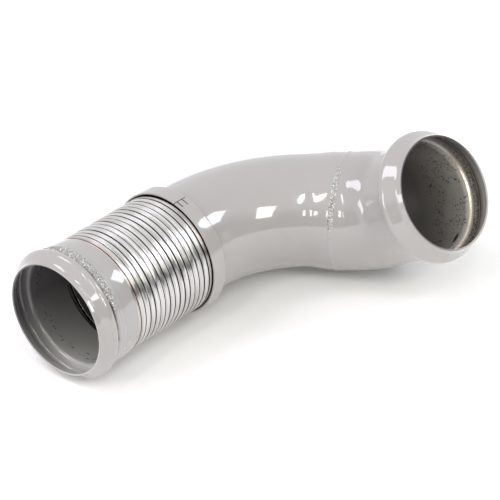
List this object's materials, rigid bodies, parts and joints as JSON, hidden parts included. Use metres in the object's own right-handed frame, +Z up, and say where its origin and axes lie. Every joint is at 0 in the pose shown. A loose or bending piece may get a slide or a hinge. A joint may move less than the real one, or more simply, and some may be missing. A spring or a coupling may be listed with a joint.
{
  "type": "exhaust flex pipe",
  "caption": "Exhaust pipe with a beaded inlet, a strip-wound flexible hose in a clamping collar, a painted elbow and a short bent stub with a beaded outlet.",
  "frame": {"origin": "bottom centre of the bounding box, on the surface that the pipe lies on", "axes": "+Z up; +X along the straight leg from the inlet towards the elbow, within one degree; the elbow turns towards -Y and the outlet rises from it"},
  "size_m": [0.4348, 0.305, 0.1684],
  "materials": {
    "grey_paint": "gloss warm grey heat-resistant paint on steel tube",
    "painted_weld": "rough weld metal under a thin coat of the same grey paint",
    "stainless_strip": "rolled stainless strip with fine streaks along the winding"
  },
  "bodies": {
    "root": {"inlet_ferrule": "grey_paint", "ferrule_weld": "painted_weld", "front_sleeve": "grey_paint", "strip_wound_hose": "stainless_strip", "rear_collar": "grey_paint", "elbow_tube": "grey_paint", "elbow_weld": "painted_weld", "outlet_stub": "grey_paint"}
  },
  "joints": []
}
